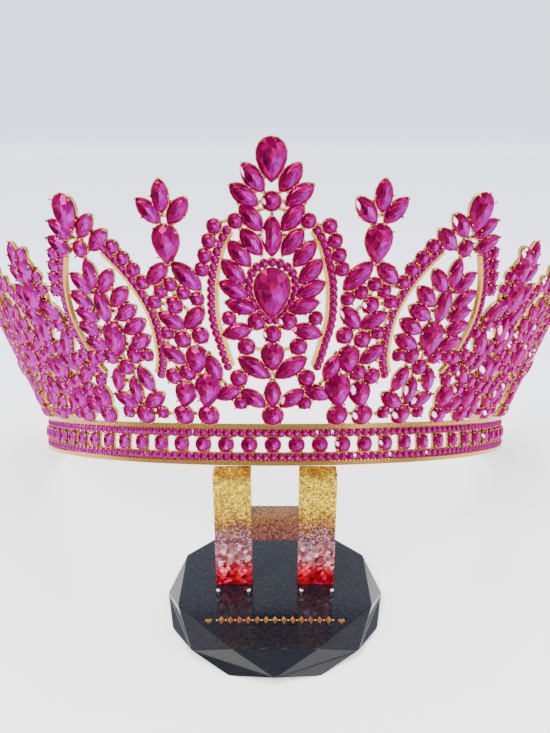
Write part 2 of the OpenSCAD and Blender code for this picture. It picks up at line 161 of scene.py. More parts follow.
# Prongs: points of a fine outline that they stand on, distance outside it, height as a
# share of the stone's width
PRONG_POINTS = 48
TIPPED_PRONGS = [1, 47, 23, 25, 12, 36]
ROUND_PRONGS = [6, 18, 30, 42]
PEAR_PRONGS = [17, 29, 47, 5, 41]
PRONG_OUT = 0.12
PRONG_UP = 0.22

# Struts between settings: where they start, how far apart settings are looked at, the
# widest gap they cross, overlap, width and the heights they lie between
LINK_FROM = 0.2
LINK_LOOK = 13
LINK_REACH = 1.7
LINK_LAP = 0.5
LINK_WIDE = 0.85
LINK_LOW = -0.9
LINK_HIGH = -0.2

# Row of small stones on the crest: pitch, its ribbon, the bar inside it, and its beads
ROW_PITCH = 2.1
ROW_WIDE = 2.2
ROW_TOP = 0.05
STRIP_LOW = -0.8
RAIL_IN = 1.5
RAIL_WIDE = 0.85
RAIL_TOP = 0.6
ROW_BEADS_OUT = 0.78
BEAD_UP = 0.5
# Ring of small stones round the heart: distance outside it, points, pitch
HALO_OUT = 1.3
HALO_POINTS = 96
HALO_PITCH = 2.05

# Palmette at the front: cut, steps across, steps up, turn, on both sides
PALM = [
    ("pear", 0, 72.7, 0, 0),
    ("leaf", 4.6, 68.5, 36, 1),
    ("leaf", 6.9, 64.3, 52, 1),
    ("round", 0, 62.7, 0, 0),
    ("leaf", 5.2, 58.7, 38, 1),
    ("spear", 0, 54, 0, 0),
    ("leaf", 5.2, 52.5, 37, 1),
    ("dot", 9.2, 57.9, 0, 1),
    ("leaf", 8.3, 49.5, 38, 1),
    ("leaf", 10, 44.8, 42, 1),
    ("leaf", 10, 40, 62, 1),
    ("heart", 0, 39, 0, 0),
    ("leaf", 8.2, 35.4, 74, 1),
    ("dot", 11.5, 32, 0, 1),
    ("round", 4.2, 31, 0, 1),
    ("round", 0, 27.4, 0, 0),
    ("leaf", 9.3, 28.2, 104, 1),
    ("round", 7, 23.8, 0, 1),
    ("bud", 0, 20.8, 0, 0),
    ("spear", 5.0, 17.6, 54, 1),
    ("round", 9.3, 14.4, 0, 1),
    ("leaf", 5.4, 8.1, 52, 1),
    ("leaf", 0, 9.6, 0, 0),
    ("leaf", 12.3, 9.9, 112, 1),
    ("dot", 9, 6.6, 0, 1),
    ("drop", 0, 2.7, 0, 0),
    ("dot", 14.6, 56.7, 0, 1),
    ("dot", 16.1, 53, 0, 1),
    ("dot", 17.3, 49.3, 0, 1),
    ("dot", 18.2, 45.6, 0, 1),
]
# Its row of small stones: steps across, steps up
PALM_ROW = [
    (11.4, 55.6), (13.6, 51.6), (14.8, 47.2), (15.8, 42.6), (16.1, 37.6),
    (16.1, 33.6), (15.5, 29), (14.4, 25.4), (13.5, 21.8), (12.3, 17.8),
]

# First bloom from the front, and the ones past the second
BLOOM = [
    ("leaf", 0, 65, -4, 0),
    ("leaf", 3.9, 61.5, 38, 0),
    ("leaf", -3.9, 61.1, -42, 0),
    ("pear", 0.5, 52.7, -4, 0),
    ("leaf", 4.6, 44.9, 128, 0),
    ("spear", -3.5, 43.9, 42, 0),
    ("dot", 1.4, 41.8, 0, 0),
    ("dot", 4.5, 40, 0, 0),
    ("dot", -1.9, 39.4, 0, 0),
    ("dot", 6.8, 37.1, 0, 0),
    ("dot", -5.4, 37.6, 0, 0),
    ("round", 1.2, 36, 0, 0),
    ("leaf", 2.7, 31.7, 58, 0),
    ("leaf", -3.8, 32.3, -44, 0),
    ("dot", 4.6, 28.1, 0, 0),
    ("round", 0.5, 26.1, 0, 0),
    ("round", -4.7, 27.2, 0, 0),
    ("leaf", 4, 21.7, 50, 0),
    ("bud", -2.7, 20.1, -6, 0),
    ("round", 0.6, 16.2, 0, 0),
    ("round", 5.1, 15, 0, 0),
    ("bud", 2.4, 9.4, -20, 0),
    ("pear", -4.3, 10.6, -12, 0),
    ("drop", 4.1, 2.7, 0, 0),
    ("drop", -3.4, 2.7, 0, 0),
    ("leaf", -6.9, 17.6, 22, 0),
]

# Second bloom from the front, whose foot reaches toward it
BLOOM_FAR = [
    ("leaf", 3, 54.8, -14, 0),
    ("leaf", -0.6, 53.6, -50, 0),
    ("bud", -0.4, 49.4, -22, 0),
    ("leaf", 4.6, 49, 38, 0),
    ("dot", -4.4, 47.4, 0, 0),
    ("pear", 1, 41.6, -14, 0),
    ("dot", -4.6, 43.4, 0, 0),
    ("leaf", 6.8, 42.6, 24, 0),
    ("spear", -4.4, 36.8, 56, 0),
    ("leaf", 5.8, 36, 30, 0),
    ("round", -6.2, 32.2, 0, 0),
    ("dot", -2, 33, 0, 0),
    ("spear", 2.2, 31.4, -18, 0),
    ("leaf", 7, 29.6, -10, 0),
    ("dot", -9.8, 29.4, 0, 0),
    ("spear", -6, 26.6, -22, 0),
    ("round", -1.2, 25, 0, 0),
    ("round", 3.6, 25.4, 0, 0),
    ("dot", 7.4, 23.6, 0, 0),
    ("round", -15.2, 21.2, 0, 0),
    ("dot", -11.4, 22.4, 0, 0),
    ("round", -7.9, 20.8, 0, 0),
    ("leaf", -3.6, 20.6, 30, 0),
    ("bud", 1.6, 18.4, -16, 0),
    ("leaf", 6.4, 18.6, 24, 0),
    ("dot", -12.8, 18, 0, 0),
    ("leaf", -8.6, 15.8, -48, 0),
    ("round", -3.4, 13.8, 0, 0),
    ("dot", -14, 13.8, 0, 0),
    ("round", -7.6, 10.8, 0, 0),
    ("round", 1.6, 12.4, 0, 0),
    ("leaf", 5.8, 11.6, 38, 0),
    ("bud", -12.6, 8.4, 24, 0),
    ("bud", -2, 8, -8, 0),
    ("leaf", -7.2, 5.4, 48, 0),
    ("leaf", 3.6, 6.2, -30, 0),
    ("drop", -11.8, 2.6, 0, 0),
    ("drop", -1.8, 2.6, 0, 0),
    ("dot", 2.8, 2.4, 0, 0),
]

# Tall leaf motif between the blooms
SIDE = [
    ("pear", 0, 63.3, 0, 0),
    ("leaf", 4.4, 59.3, 48, 1),
    ("leaf", 7, 55.2, 54, 1),
    ("round", 0, 53.3, 0, 0),
    ("dot", 10.7, 53, 0, 1),
    ("dot", 12.5, 49.7, 0, 1),
    ("dot", 14.3, 46.4, 0, 1),
    ("dot", 15.7, 42.7, 0, 1),
    ("leaf", 0, 46.2, 0, 0),
    ("leaf", 4.4, 43.8, 42, 1),
    ("leaf", 6.7, 39.1, 52, 1),
    ("spear", 0, 36.9, 0, 0),
    ("leaf", 6.8, 34.4, 68, 1),
    ("leaf", 8, 30.3, 66, 1),
    ("pear", 0, 26.8, 0, 0),
    ("leaf", 7.6, 25.6, 68, 1),
    ("round", 4.1, 21.5, 0, 1),
    ("dot", 8.3, 21.6, 0, 1),
    ("round", 0, 18, 0, 0),
    ("leaf", 4.8, 14.2, -20, 1),
    ("leaf", 0, 10.6, 0, 0),
    ("leaf", 5, 7.4, 60, 1),
    ("dot", 6, 3.4, 0, 1),
    ("drop", 0, 2.7, 0, 0),
]
# Its row of small stones
SIDE_ROW = [
    (7.6, 52.6), (11.2, 46.8), (13.6, 41), (14.9, 34.8), (14.8, 29.6),
    (13.7, 23.8), (12.5, 19.6), (10.2, 15.4),
]
# How it leans toward the crown's ends, and the height where it doesn't
SIDE_LEAN = 0.1
SIDE_CROSS = 53.7

# Motifs on one side of the front: pattern, steps along the band, share of full size
MOTIFS = [
    ("bloom", 21.4, 1),
    ("side", 42.9, 1),
    ("bloom_far", 63.7, 1),
    ("side", 82.7, 0.86),
    ("bloom", 99.7, 0.72),
    ("side", 116.5, 0.74),
    ("bloom", 130.8, 0.62),
    ("side", 144.5, 0.6),
]
PATTERNS = {
    "palm": (PALM, PALM_ROW),
    "bloom": (BLOOM, []),
    "bloom_far": (BLOOM_FAR, []),
    "side": (SIDE, SIDE_ROW),
}


def settle():
    """Lean of the crown and height of its front edge, as it rests on the riser and the table."""
    reach = BAND_R * (1 - math.cos(math.radians(ARC_HALF)))

    def front_height(lean):
        return RISER_TOP + REST_GAP + math.tan(lean) * (RISER_BACK - SEAT_Y)

    lean = math.asin(RISER_TOP / reach)
    for _ in range(6):
        lean = math.asin(front_height(lean) / reach)
    return lean, front_height(lean)


LEAN, FRONT_Z = settle()
LEAN_C, LEAN_S = math.cos(LEAN), math.sin(LEAN)
SEAT = np.array([[1, 0, 0], [0, LEAN_C, LEAN_S], [0, -LEAN_S, LEAN_C]])
SHIFT = SEAT @ np.array([0, BAND_R, 0]) + np.array([0, SEAT_Y, FRONT_Z])


def crest_r(v):
    """Radius of the crest at a height up its wall."""
    return ROOT_R + (v - ROOT_V) * math.sin(FLARE)


def spot(phi, v, turn=0.0, on_band=False):
    """Origin and axes on the crown, for an angle in radians and a height up its wall."""
    flare = 0 if on_band else FLARE
    r = WALL_R if on_band else crest_r(v)
    z = v if on_band else ROOT_V + (v - ROOT_V) * math.cos(FLARE)
    sp, cp = math.sin(phi + CREST_TURN), math.cos(phi + CREST_TURN)
    along = np.array([cp, sp, 0])
    up = np.array([math.sin(flare) * sp, -math.sin(flare) * cp, math.cos(flare)])
    out = np.cross(along, up)
    ct, st = math.cos(turn), math.sin(turn)
    axes = np.array([along * ct - up * st, up * ct + along * st, out]).T
    return SEAT @ np.array([r * sp, -r * cp, z]) + SHIFT, SEAT @ axes


def place(pattern, at, share, across, up):
    """Angle and height of a point in a motif's own grid."""
    v = BAND_H + up * share + CREST_LIFT
    lean = (up - SIDE_CROSS) * SIDE_LEAN if pattern == "side" else 0
    return at + (across + lean) * share / crest_r(v), v


def new_object(name, data):
    thing = bpy.data.objects.new(name, data)
    bpy.context.scene.collection.objects.link(thing)
    return thing


def new_piece(name, mesh, material):
    """Makes a mesh a piece that rides with the object."""
    mesh.materials.append(material)
    piece = new_object(name, mesh)
    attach(piece, "root")
    return piece


class Bag:
    """Triangles of one piece, each with a tone from 0 to 1."""

    def __init__(self):
        self.points, self.faces, self.tones, self.count = [], [], [], 0

    def add(self, points, faces, origin, axes, tones=0.5):
        points = np.asarray(points, float)
        self.points.append(points @ axes.T + origin)
        self.faces.append(np.asarray(faces, int) + self.count)
        self.tones.append(np.broadcast_to(tones, len(faces)))
        self.count += len(points)

    def make(self, name, material, slot, smooth=False):
        points = np.concatenate(self.points) * MM
        faces = np.concatenate(self.faces)
        mesh = bpy.data.meshes.new(name)
        mesh.vertices.add(len(points))
        mesh.vertices.foreach_set("co", points.ravel())
        mesh.loops.add(faces.size)
        mesh.loops.foreach_set("vertex_index", faces.ravel())
        mesh.polygons.add(len(faces))
        mesh.polygons.foreach_set("loop_start", np.arange(0, faces.size, 3))
        mesh.polygons.foreach_set("use_smooth", np.full(len(faces), smooth))
        mesh.update(calc_edges=True)
        tone = mesh.attributes.new("tone", "FLOAT", "FACE")
        tone.data.foreach_set("value", np.concatenate(self.tones).astype(np.float32))
        mesh.validate()
        return new_piece(name, mesh, material)


def outline(kind, share, grow=0.0, n=None):
    """Points round a cut, counter-clockwise, with its round end or a tip upward."""
    length, width, count = CUTS[kind]
    n = n or count
    high, wide = length * share / 2, width * share / 2
    angles = np.arange(n) * 2 * math.pi / n
    ring = []
    for a in angles:
        if kind in ROUND_CUTS:
            ring.append((-wide * math.sin(a), wide * math.cos(a)))
        elif kind in TIPPED_CUTS:
            bow = math.sin(a) * abs(math.sin(a)) ** TIP_BOW
            ring.append((-wide * bow, high * math.cos(a)))
        else:
            taper = abs(math.cos(a / 2)) ** PEAR_TAPER
            ring.append((-PEAR_WIDE * wide * math.sin(a) * taper, high * math.cos(a)))
    return np.array(ring) * [1 + grow / wide, 1 + grow / high]


def shrink(kind, ring, share):
    """A cut's outline drawn in toward its middle, or toward its keel if it has two tips."""
    mid = ring.mean(axis=0)
    along = KEEL + (1 - KEEL) * share if kind in TIPPED_CUTS else share
    return mid + (ring - mid) * [share, along]


def unit(way):
    """A way made one long."""
    return way / max(TINY, np.linalg.norm(way))


def ring_faces(a, b, n):
    """Quads between two rings of n points, as triangles."""
    faces = []
    for i in range(n):
        j = (i + 1) % n
        faces += [(a + i, a + j, b + j), (a + i, b + j, b + i)]
    return faces


def stack(rings):
    """Walls through rings of equal count, closed at the first one."""
    n = len(rings[0])
    faces = []
    for k in range(len(rings) - 1):
        faces += ring_faces(k * n, (k + 1) * n, n)
    faces += [(0, i + 1, i) for i in range(1, n - 1)]
    return np.concatenate(rings), faces


def gem(kind, share, turn):
    """A faceted stone: girdle, crown, table and the facets seen through the table."""
    ring = outline(kind, share)
    n = len(ring)
    half = ring[::2]
    m = len(half)
    rise = CUTS[kind][1] * share * (SMALL_RISE if kind in SMALL_CUTS else RISE)
    shift = (half + np.roll(half, -1, axis=0)) / 2
    mid = half.mean(axis=0)

    def crown_ring(points, size, up):
        return np.c_[shrink(kind, points, size), np.full(m, up * rise)]

    rings = [
        np.c_[ring * FOOT_RING, np.full(n, 0.0)],
        np.c_[ring, np.full(n, GIRDLE_UP * rise)],
        crown_ring(shift, *BEZEL_RING),
        crown_ring(half, *TABLE_RING),
        crown_ring(shift, *INNER_RING),
        crown_ring(half, *KEEL_RING),
    ]
    start = np.cumsum([0] + [len(r) for r in rings])
    faces = ring_faces(start[0], start[1], n)
    tones = [GIRDLE_TONE] * len(faces)
    # Whether this stone gets a painted highlight on the facets toward one side
    has_painted_glint = random.random() < (SEED_PAINTED_GLINT_SHARE if kind == "seed" else PAINTED_GLINT_SHARE)

    def add(facet, angle, *new):
        level, gain, spread = TONES[facet]
        for face in new:
            value = level + gain * math.cos(angle - turn - LOBE) + random.uniform(-spread, spread)
            faces.append(face)
            tones.append(min(TONE_TOP, max(0.0, value)))

    for i in range(m):
        j = (i + 1) % m
        x, y = shift[i] - mid
        at = math.atan2(y, x)
        a, b, c = (start[1] + (2 * i + step) % n for step in range(3))
        star_i, table_i, inner_i, keel_i = start[2:6] + i
        star_j, table_j, inner_j, keel_j = start[2:6] + j
        add("bezel", at, (a, b, star_i), (b, c, star_i), (c, star_j, star_i))
        add("star", at, (star_i, table_j, table_i), (star_i, star_j, table_j))
        add("inner", at, (table_i, table_j, inner_i), (table_j, inner_j, inner_i))
        add("heart", at, (inner_i, keel_j, keel_i), (inner_i, inner_j, keel_j))
        if has_painted_glint and math.cos(at - turn - PAINTED_GLINT_SIDE) > PAINTED_GLINT_NEAR:
            # The last two bezel facets and the star facet beside them get the painted highlight
            tones[-8] = tones[-7] = tones[-5] = 1.0
    return np.concatenate(rings), faces, tones


def cup(kind, share):
    """The metal collar and back of one setting."""
    n = min(CUTS[kind][2], CUP_POINTS)
    foot, outer, inner = (outline(kind, share, out, n) for out in (CUP_FOOT, CUP_WALL, CUP_LIP))
    top = CUTS[kind][1] * share * CUP_TOP
    return stack(
        [
            np.c_[foot, np.full(n, -CUP_DEEP)],
            np.c_[outer, np.full(n, top - CUP_BRIM)],
            np.c_[outer * CUP_DRAFT, np.full(n, top)],
            np.c_[inner, np.full(n, top)],
            np.c_[inner, np.full(n, 0.0)],
        ]
    )


def ball(r, tall):
    """A small bead: two tips and two rings of six points, the lower one turned by half a step."""
    points = [(0, 0, r * tall)]
    for z in (0.5, -0.5):
        for k in range(6):
            a = math.radians(60 * k + (30 if z < 0 else 0))
            points.append((r * 0.87 * math.cos(a), r * 0.87 * math.sin(a), r * tall * z))
    points.append((0, 0, -r * tall))
    faces = []
    for k in range(6):
        j = (k + 1) % 6
        faces += [(0, 1 + k, 1 + j), (1 + k, 7 + k, 1 + j)]
        faces += [(1 + j, 7 + k, 7 + j), (7 + k, 13, 7 + j)]
    return np.array(points), faces


def bar(p, q, wide, low, high):
    """A flat bar between two points, its ends cut square."""
    way = unit(q - p)
    side = np.array([-way[1], way[0]]) * wide / 2
    base = [p - side, q - side, q + side, p + side]
    points = np.array([(x, y, low) for x, y in base] + [(x, y, high) for x, y in base])
    faces = [(0, 2, 1), (0, 3, 2), (4, 5, 6), (4, 6, 7)]
    for i in range(4):
        j = (i + 1) % 4
        faces += [(i, j, 4 + j), (i, 4 + j, 4 + i)]
    return points, faces


def prong_spots(kind, share):
    """Places of the prongs round a cut. Small stones stand round the heart instead."""
    if kind == "heart":
        return []
    picks = PEAR_PRONGS
    if kind in TIPPED_CUTS:
        picks = TIPPED_PRONGS
    elif kind in ROUND_CUTS:
        picks = ROUND_PRONGS
    return outline(kind, share, PRONG_OUT, PRONG_POINTS)[picks]


def all_motifs():
    """Every motif: pattern, angle, share, and the way that it is flipped."""
    motifs = [("palm", 0.0, 1.0, 1)]
    for pattern, along, share in MOTIFS:
        motifs += [(pattern, along / BAND_R, share, flip) for flip in (1, -1)]
    return motifs


def crest_stones(motifs):
    """Every stone of the crest but the smallest: cut, angle, height, turn, share."""
    found = []
    for pattern, at, share, flip in motifs:
        for kind, across, up, turn, both in PATTERNS[pattern][0]:
            for side in (1, -1) if both else (1,):
                phi, v = place(pattern, at, share, across * side, up)
                found.append((kind, phi * flip, v, math.radians(turn) * side * flip, share))
    return found


def run_along(points):
    """Distance along a line of points, at each of them."""
    return np.r_[0, np.cumsum(np.linalg.norm(np.diff(points, axis=0), axis=1))]


def smooth_line(points, pitch):
    """Evenly spaced points along a curve through the given points."""
    pts = np.array([points[0]] + list(points) + [points[-1]], float)
    dense = []
    for k in range(1, len(pts) - 2):
        p0, p1, p2, p3 = pts[k - 1 : k + 3]
        square, cube = 2 * p0 - 5 * p1 + 4 * p2 - p3, 3 * p1 - p0 - 3 * p2 + p3
        for t in np.linspace(0, 1, 12, endpoint=False):
            dense.append(0.5 * (2 * p1 + (p2 - p0) * t + square * t**2 + cube * t**3))
    dense = np.array(dense + [pts[-1]])
    run = run_along(dense)
    n = max(2, int(round(run[-1] / pitch)) + 1)
    want = np.linspace(0, run[-1], n)
    return np.c_[np.interp(want, run, dense[:, 0]), np.interp(want, run, dense[:, 1])]


stones, seeds, band_gems = Bag(), Bag(), Bag()
cups, prongs, rows, band = Bag(), Bag(), Bag(), Bag()
BEAD = ball(0.36, 1.2)
SMALL_BEAD = ball(0.29, 1.3)


def set_stone(kind, phi, v, turn, share, bag, metal, on_band=False):
    """One stone with its collar."""
    origin, axes = spot(phi, v, turn, on_band)
    points, faces, tones = gem(kind, share, turn)
    violet = 1 + VIOLET * min(1, abs(phi) / VIOLET_END) ** VIOLET_BEND
    # Facets with the painted highlight keep their tone of 1
    tones = [tone if tone == 1 else min(TONE_TOP, tone * violet) for tone in tones]
    bag.add(points, faces, origin, axes, tones)
    metal.add(*cup(kind, share), origin, axes)


def draw_crest():
    """Stones of the crest with their settings, struts and rows."""
    motifs = all_motifs()
    settings = []
    for kind, phi, v, turn, share in crest_stones(motifs):
        set_stone(kind, phi, v, turn, share, stones, cups)
        origin, axes = spot(phi, v, turn)
        up = CUTS[kind][1] * share * PRONG_UP
        for x, y in prong_spots(kind, share):
            prongs.add(*BEAD, origin + axes @ np.array([x, y, up]), axes)
        ring = outline(kind, share, LINK_FROM, CUP_POINTS)
        ct, st = math.cos(turn), math.sin(turn)
        settings.append((phi, v, ring @ np.array([[ct, -st], [st, ct]])))
    link_settings(settings)
    for pattern, at, share, flip in motifs:
        line = PATTERNS[pattern][1]
        if line:
            for side in (1, -1):
                draw_row(pattern, at, share, flip, side, line)
    draw_halo()


def link_settings(settings):
    """Small struts behind the stones, where two settings lie close."""
    for i, (phi, v, ring) in enumerate(settings):
        for phi2, v2, ring2 in settings[i + 1 :]:
            dx = (phi2 - phi) * crest_r(v)
            if abs(dx) > LINK_LOOK or abs(v2 - v) > LINK_LOOK:
                continue
            other = ring2 + [dx, v2 - v]
            gap = np.linalg.norm(ring[:, None] - other[None], axis=2)
            a, b = np.unravel_index(gap.argmin(), gap.shape)
            if gap[a, b] < LINK_REACH:
                mid = (ring[a] + other[b]) / 2
                reach = unit(other[b] - ring[a]) * (gap[a, b] / 2 + LINK_LAP)
                strut = bar(mid - reach, mid + reach, LINK_WIDE, LINK_LOW, LINK_HIGH)
                cups.add(*strut, *spot(phi, v))


def draw_row(pattern, at, share, flip, side, line):
    """A row of small stones with a plain bar just inside it."""
    curve = smooth_line([(x * share * side, y * share) for x, y in line], ROW_PITCH)
    heading = np.gradient(curve, axis=0)
    heading /= np.linalg.norm(heading, axis=1)[:, None]
    inward = np.c_[heading[:, 1], -heading[:, 0]] * (1 if heading[0, 1] < 0 else -1) * side

    def on_crown(p):
        phi, v = place(pattern, at, share, p[0] / share, p[1] / share)
        return phi * flip, v

    path = [on_crown(p) for p in curve]
    rail = [on_crown(p + q * RAIL_IN) for p, q in zip(curve, inward)]
    for phi, v in path:
        set_stone("seed", phi, v, 0, 1, seeds, rows)
    strip(path, ROW_WIDE, STRIP_LOW, ROW_TOP)
    strip(rail, RAIL_WIDE, STRIP_LOW, RAIL_TOP)
    for (phi_a, v_a), (phi_b, v_b) in zip(path, path[1:]):
        phi, v = (phi_a + phi_b) / 2, (v_a + v_b) / 2
        origin, axes = spot(phi, v)
        way = unit(np.array([(phi_b - phi_a) * crest_r(v), v_b - v_a]))
        for s in (1, -1):
            x, y = np.array([-way[1], way[0]]) * ROW_BEADS_OUT * s
            rows.add(*SMALL_BEAD, origin + axes @ np.array([x, y, BEAD_UP]), axes)


def strip(path, wide, low, high):
    """A ribbon of metal that follows a path on the crest."""
    points, faces = [], []
    for k, (phi, v) in enumerate(path):
        a, b = path[max(0, k - 1)], path[min(len(path) - 1, k + 1)]
        way = unit(np.array([(b[0] - a[0]) * crest_r(v), b[1] - a[1]]))
        origin, axes = spot(phi, v)
        for x, z in ((-1, low), (1, low), (1, high), (-1, high)):
            side = np.array([way[1], -way[0]]) * x * wide / 2
            points.append(origin + axes @ np.array([side[0], side[1], z]))
    last = 4 * (len(path) - 1)
    for k in range(0, last, 4):
        faces += ring_faces(k, k + 4, 4)
    faces += [(0, 2, 1), (0, 3, 2), (last, last + 1, last + 2), (last, last + 2, last + 3)]
    rows.add(points, faces, np.zeros(3), np.eye(3))


def draw_halo():
    """The ring of small stones round the front's large stone."""
    up = next(row[2] for row in PALM if row[0] == "heart")
    ring = outline("heart", 1, HALO_OUT, HALO_POINTS)
    closed = np.r_[ring, ring[:1]]
    run = run_along(closed)
    n = int(run[-1] / HALO_PITCH)
    for k in range(n):
        x, y = (np.interp(k * run[-1] / n, run, closed[:, i]) for i in (0, 1))
        phi, v = place("palm", 0, 1, x, up + y)
        set_stone("seed", phi, v, 0, 1, seeds, rows)


def arc_bar(r0, r1, v0, v1, a0, a1, steps):
    """A piece of the band between two radii, heights and angles in radians."""
    points, faces = [], []
    for k in range(steps + 1):
        a = a0 + (a1 - a0) * k / steps
        for r, z in ((r0, v0), (r1, v0), (r1, v1), (r0, v1)):
            points.append(SEAT @ np.array([r * math.sin(a), -r * math.cos(a), z]) + SHIFT)
    last = 4 * steps
    for a in range(0, last, 4):
        b = a + 4
        for i in range(4):
            j = (i + 1) % 4
            faces += [(a + i, b + j, a + j), (a + i, b + i, b + j)]
    faces += [(0, 1, 2), (0, 2, 3), (last, last + 2, last + 1), (last, last + 3, last + 2)]
    band.add(points, faces, np.zeros(3), np.eye(3))


def draw_band():
    """The band's wall, rims and posts, with its three rows of stones."""
    half = math.radians(ARC_HALF)
    inner = WALL_R - WALL_T
    for outer, low, high in (
        (WALL_R, 0, SLOT[0]),
        (WALL_R, SLOT[1], BAND_H),
        (BAND_R, 0, LOW_RIM_H),
        (BAND_R, BAND_H - HIGH_RIM_H, BAND_H),
    ):
        arc_bar(inner, outer, low, high, -half, half, BAND_STEPS)
    wide = POST_W / 2 / BAND_R
    count = int(math.radians(ARC_HALF - 1) * BAND_R / BAND_PITCH - 0.5)
    for k in range(-count, count + 1):
        a = k * BAND_PITCH / BAND_R
        arc_bar(inner, WALL_R, *SLOT, a - wide + CREST_TURN, a + wide + CREST_TURN, POST_STEPS)
        set_stone("middle", a, BAND_H / 2, 0, 1, band_gems, band, True)
        origin, axes = spot(a, BAND_H / 2, 0, True)
        for t in (math.radians(45 + 90 * q) for q in range(4)):
            x, y = MIDDLE_PRONG_R * math.cos(t), MIDDLE_PRONG_R * math.sin(t)
            prongs.add(*BEAD, origin + axes @ np.array([x, y, MIDDLE_PRONG_UP]), axes)
    small = int(half * BAND_R / SEED_PITCH)
    for k in range(-small, small + 1):
        a = k * SEED_PITCH / BAND_R
        if abs(a) > half - BAND_END:
            continue
        for v, out in zip(BAND_ROWS, (-1, 1)):
            set_stone("seed", a, v, 0, 1, seeds, rows, True)
            for step, away in BAND_BEADS:
                origin, axes = spot(a + step * SEED_PITCH / BAND_R, v, 0, True)
                rows.add(*SMALL_BEAD, origin + axes @ np.array([0, away * out, BEAD_UP]), axes)


def node_material(name):
    """A new material, its nodes and its shader."""
    material = bpy.data.materials.new(name)
    material.use_nodes = True
    tree = material.node_tree
    return material, tree, tree.nodes["Principled BSDF"]


def dress(shader, values):
    """Sets a shader's own sockets."""
    for name, value in values.items():
        shader.inputs[name].default_value = value


def feed(tree, value, socket):
    """Links a socket to another one, or gives it a value."""
    if isinstance(value, bpy.types.NodeSocket):
        tree.links.new(value, socket)
    else:
        socket.default_value = value


def ramp(tree, stops, source):
    """A colour ramp fed by a socket."""
    node = tree.nodes.new("ShaderNodeValToRGB")
    while len(node.color_ramp.elements) < len(stops):
        node.color_ramp.elements.new(0.5)
    for element, (at, colour) in zip(node.color_ramp.elements, stops):
        element.position = at
        element.color = (*colour, 1)
    tree.links.new(source, node.inputs["Fac"])
    return node.outputs["Color"]


def noise(tree, scale):
    node = tree.nodes.new("ShaderNodeTexNoise")
    node.inputs["Scale"].default_value = scale
    return node.outputs["Fac"]


def math_node(tree, operation, *values):
    node = tree.nodes.new("ShaderNodeMath")
    node.operation = operation
    for value, socket in zip(values, node.inputs):
        feed(tree, value, socket)
    return node.outputs["Value"]


def vector_node(tree, operation, *values):
    node = tree.nodes.new("ShaderNodeVectorMath")
    node.operation = operation
    for value, socket in zip(values, node.inputs):
        feed(tree, value, socket)
    return node.outputs["Vector"]


def scaled(tree, colour, share):
    """A colour made darker or brighter by a number or a socket."""
    node = tree.nodes.new("ShaderNodeVectorMath")
    node.operation = "SCALE"
    tree.links.new(colour, node.inputs[0])
    feed(tree, share, node.inputs["Scale"])
    return node.outputs["Vector"]


def blend(tree, factor, a, b):
    """The first colour where the factor is 0, the second where it is 1."""
    node = tree.nodes.new("ShaderNodeMix")
    node.data_type = "RGBA"
    for name, value in (("Factor", factor), ("A", a), ("B", b)):
        feed(tree, value, node.inputs[name])
    return node.outputs["Result"]


def channels(tree, colour):
    split = tree.nodes.new("ShaderNodeSeparateColor")
    tree.links.new(colour, split.inputs["Color"])
    return split.outputs


def object_place(tree):
    """The object's own coordinates, whole and as X, Y and Z."""
    where = tree.nodes.new("ShaderNodeTexCoord").outputs["Object"]
    split = tree.nodes.new("ShaderNodeSeparateXYZ")
    tree.links.new(where, split.inputs["Vector"])
    return where, split.outputs


# Colour of a facet by its tone. The last stop is the sparkle, a white highlight painted onto the
# facet.
GEM_STOPS = [
    (0.0, (0.09, 0.0, 0.035)),
    (0.22, (0.22, 0.0, 0.05)),
    (0.45, (0.36, 0.0, 0.12)),
    (0.68, (0.42, 0.0, 0.24)),
    (0.88, (0.47, 0.0, 0.45)),
    (0.90, (1.7, 1.25, 1.5)),
]
# Share of a facet's colour that its foil reflects
FOIL = 0.3


def gem_material():
    """Foil-backed glass, which glows and reflects in the colour of each facet's tone."""
    material, tree, shader = node_material("fuchsia_glass")
    tone = tree.nodes.new("ShaderNodeAttribute")
    tone.attribute_name = "tone"
    colour = ramp(tree, GEM_STOPS, tone.outputs["Fac"])
    tree.links.new(scaled(tree, colour, FOIL), shader.inputs["Base Color"])
    tree.links.new(colour, shader.inputs["Emission Color"])
    dress(
        shader,
        {
            "Emission Strength": 0.7,
            "Metallic": 1,
            "Specular Tint": (1.0, 0.0, 0.5, 1),
            "Roughness": 0.3,
            "Coat Weight": 0.05,
            "Coat Roughness": 0.04,
        },
    )
    return material


# Scale of the metals' grain, and how it spreads their roughness
METAL_GRAIN = 700
GRAIN_GLOSS = (0.7, 1.4)
# Colours of the two metals, from the dark of their grain to its light, and their roughness
GOLD_STOPS = [(0.36, (0.25, 0.115, 0.014)), (0.64, (0.66, 0.38, 0.10))]
GOLD_ROUGH = 0.24
SILVER_STOPS = [(0.3, (0.7, 0.7, 0.72)), (0.7, (0.85, 0.85, 0.87))]
SILVER_ROUGH = 0.15


def metal_material(name, stops, rough):
    """Plated metal with a fine grain in its colour and its gloss."""
    material, tree, shader = node_material(name)
    shader.inputs["Metallic"].default_value = 1
    grain = noise(tree, METAL_GRAIN)
    tree.links.new(ramp(tree, stops, grain), shader.inputs["Base Color"])
    spread = tree.nodes.new("ShaderNodeMapRange")
    for end, share in zip(("To Min", "To Max"), GRAIN_GLOSS):
        spread.inputs[end].default_value = rough * share
    tree.links.new(grain, spread.inputs["Value"])
    tree.links.new(spread.outputs["Result"], shader.inputs["Roughness"])
    return material


GOLD = metal_material("gold_plate", GOLD_STOPS, GOLD_ROUGH)
SILVER = metal_material("stud_metal", SILVER_STOPS, SILVER_ROUGH)
GEM = gem_material()

